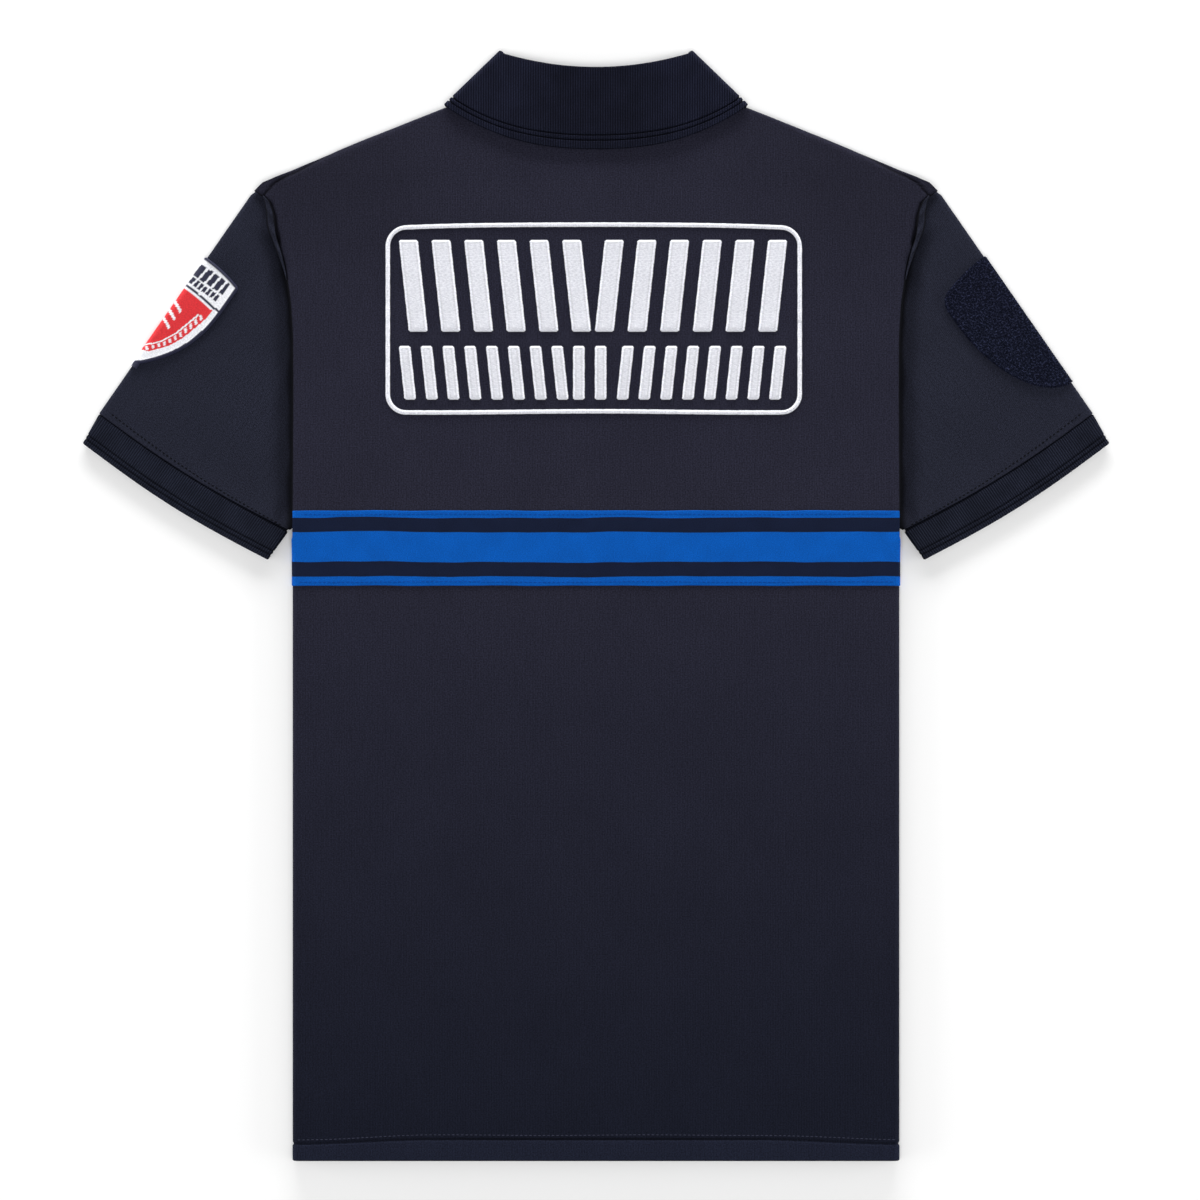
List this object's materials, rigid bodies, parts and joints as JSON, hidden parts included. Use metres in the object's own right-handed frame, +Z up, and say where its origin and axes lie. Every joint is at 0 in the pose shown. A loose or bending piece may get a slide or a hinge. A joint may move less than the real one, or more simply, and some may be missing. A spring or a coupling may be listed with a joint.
{
  "type": "police polo shirt laid flat",
  "caption": "Short-sleeved navy police polo shirt lying flat, back up, with a blue stripe band, knitted collar and cuffs, sleeve patches and a stitched back marking.",
  "frame": {"origin": "under the middle of the shirt's bounding box, on the surface it lies on", "axes": "+Y from the hem to the collar, +X to the wearer's right sleeve, +Z up, out of the back"},
  "size_m": [0.7252, 0.7828, 0.0088],
  "materials": {
    "navy_knit": "fine navy interlock knit, matt with a slight sheen",
    "navy_rib": "darker navy rib knit",
    "stripe_tape": "woven tape, royal blue and navy stripes",
    "white_stitching": "raised satin stitch in white thread",
    "shield_twill": "embroidered twill patch, white and red with a navy overlocked border",
    "loop_pile": "navy loop fastener pile",
    "button_plastic": "navy four-hole shirt buttons"
  },
  "bodies": {
    "root": {"back_panel": "navy_knit", "front_panel": "navy_knit", "sleeve_left": "navy_knit", "sleeve_right": "navy_knit", "cuff_left": "navy_rib", "cuff_right": "navy_rib", "collar": "navy_rib", "placket_front": "navy_knit", "placket_back": "navy_knit", "button_1": "button_plastic", "button_2": "button_plastic", "button_3": "button_plastic", "stripe_band_back": "stripe_tape", "stripe_band_front": "stripe_tape", "shield_patch": "shield_twill", "loop_patch": "loop_pile", "marking_frame": "white_stitching", "marking_bar_upper_1": "white_stitching", "marking_bar_upper_2": "white_stitching", "marking_bar_upper_3": "white_stitching", "marking_bar_upper_4": "white_stitching", "marking_bar_upper_5": "white_stitching", "marking_bar_upper_6": "white_stitching", "marking_bar_lower_1": "white_stitching", "marking_bar_lower_2": "white_stitching", "marking_bar_lower_3": "white_stitching", "marking_bar_lower_4": "white_stitching", "marking_bar_lower_5": "white_stitching", "marking_bar_lower_6": "white_stitching", "marking_bar_lower_7": "white_stitching", "marking_bar_lower_8": "white_stitching", "marking_bar_lower_9": "white_stitching"}
  },
  "joints": []
}
